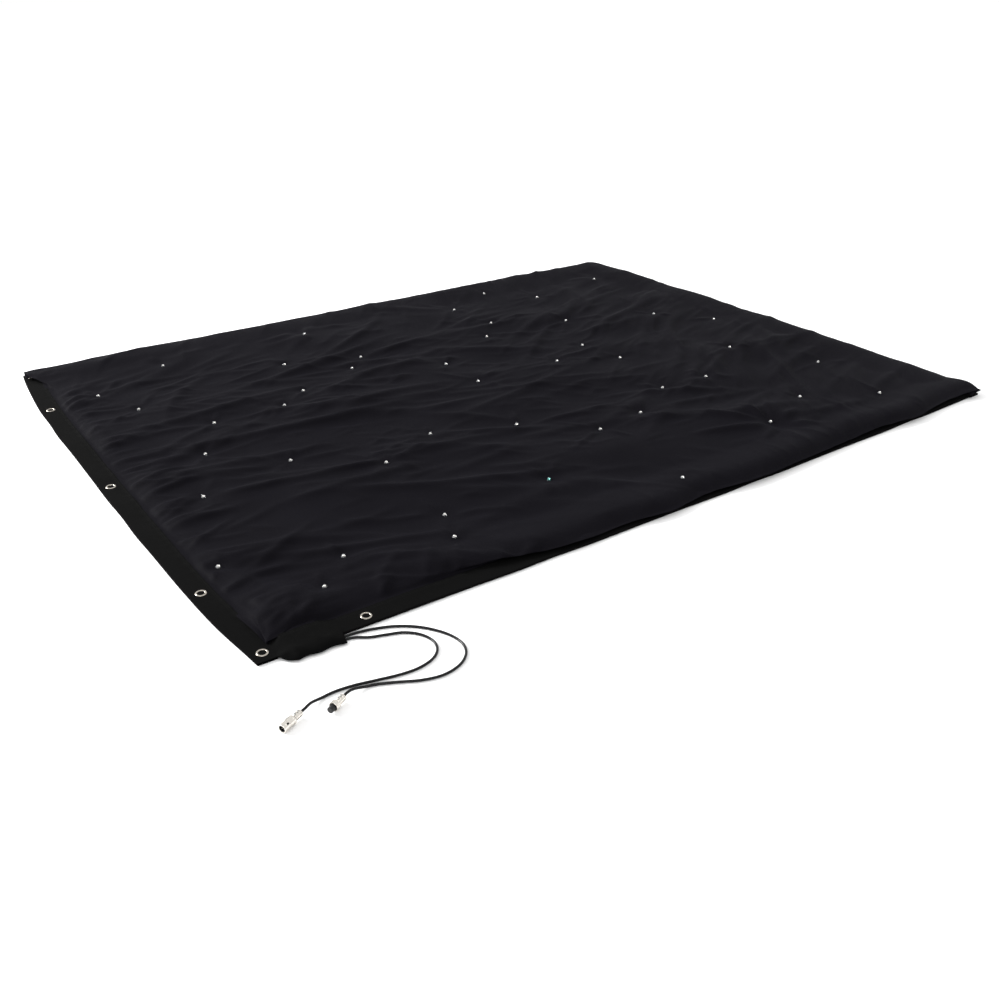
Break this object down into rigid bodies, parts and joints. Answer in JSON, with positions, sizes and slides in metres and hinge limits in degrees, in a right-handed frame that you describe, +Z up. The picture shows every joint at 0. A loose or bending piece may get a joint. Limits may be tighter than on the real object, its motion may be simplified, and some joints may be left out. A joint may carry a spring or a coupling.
{
  "type": "led star cloth",
  "caption": "Black backdrop cloth with point lamps, bound edges with eyelets, and two leads ending in round four-pole connectors; a coupling ring turns on one.",
  "frame": {"origin": "centre of the cloth's outline, on the floor it lies on", "axes": "+X along the long side, from the corner with the leads; +Y from the front edge with the leads to the back edge; +Z up"},
  "size_m": [2.0629, 1.6983, 0.036],
  "materials": {
    "front_cloth": "fine-woven black cloth with a soft sheen",
    "back_lining": "plain-woven black lining",
    "binding": "black webbing, folded and sewn",
    "nickel": "nickel plate",
    "lamp": "clear lamp bodies on a thin dark cable",
    "jacket": "semi-gloss black cable jacket",
    "black_plastic": "moulded black plastic",
    "board": "green solder mask on a circuit board",
    "contact": "turned brass pins",
    "screw": "plated steel screws"
  },
  "bodies": {
    "cloth": {"back_lining": "back_lining", "band_back": "binding", "band_front": "binding", "band_left": "binding", "band_right": "binding", "bus_cable": "jacket", "eyelet_back_1": "nickel", "eyelet_back_2": "nickel", "eyelet_back_3": "nickel", "eyelet_back_4": "nickel", "eyelet_back_left": "nickel", "eyelet_back_right": "nickel", "eyelet_front_1": "nickel", "eyelet_front_2": "nickel", "eyelet_front_3": "nickel", "eyelet_front_4": "nickel", "eyelet_front_left": "nickel", "eyelet_front_right": "nickel", "eyelet_left_1": "nickel", "eyelet_left_2": "nickel", "eyelet_left_3": "nickel", "eyelet_right_1": "nickel", "eyelet_right_2": "nickel", "eyelet_right_3": "nickel", "front_cloth": "front_cloth", "input_clamp": "nickel", "input_clamp_screw_1": "screw", "input_clamp_screw_2": "screw", "input_gland": "black_plastic", "input_insert": "black_plastic", "input_lead": "jacket", "input_pin_1": "contact", "input_pin_2": "contact", "input_pin_3": "contact", "input_pin_4": "contact", "input_shell": "nickel", "junction_base": "black_plastic", "junction_board": "board", "junction_lid": "black_plastic", "lamp_string_1": "lamp", "lamp_string_2": "lamp", "lamp_string_3": "lamp", "lamp_string_4": "lamp", "lamp_string_5": "lamp", "lamp_string_6": "lamp", "lid_screw_1": "screw", "lid_screw_2": "screw", "output_clamp": "nickel", "output_clamp_screw_1": "screw", "output_clamp_screw_2": "screw", "output_gland": "black_plastic", "output_insert": "black_plastic", "output_lead": "jacket", "output_shell": "nickel", "terminal_block": "black_plastic"},
    "coupling_ring": {"coupling_ring": "nickel"}
  },
  "joints": [
    {"name": "coupling_ring_turn", "type": "hinge", "parent": "cloth", "child": "coupling_ring", "pos_m": [-0.927, -0.899, 0.0081], "axis": [-0.8829, -0.4695, 0], "continuous": true}
  ]
}
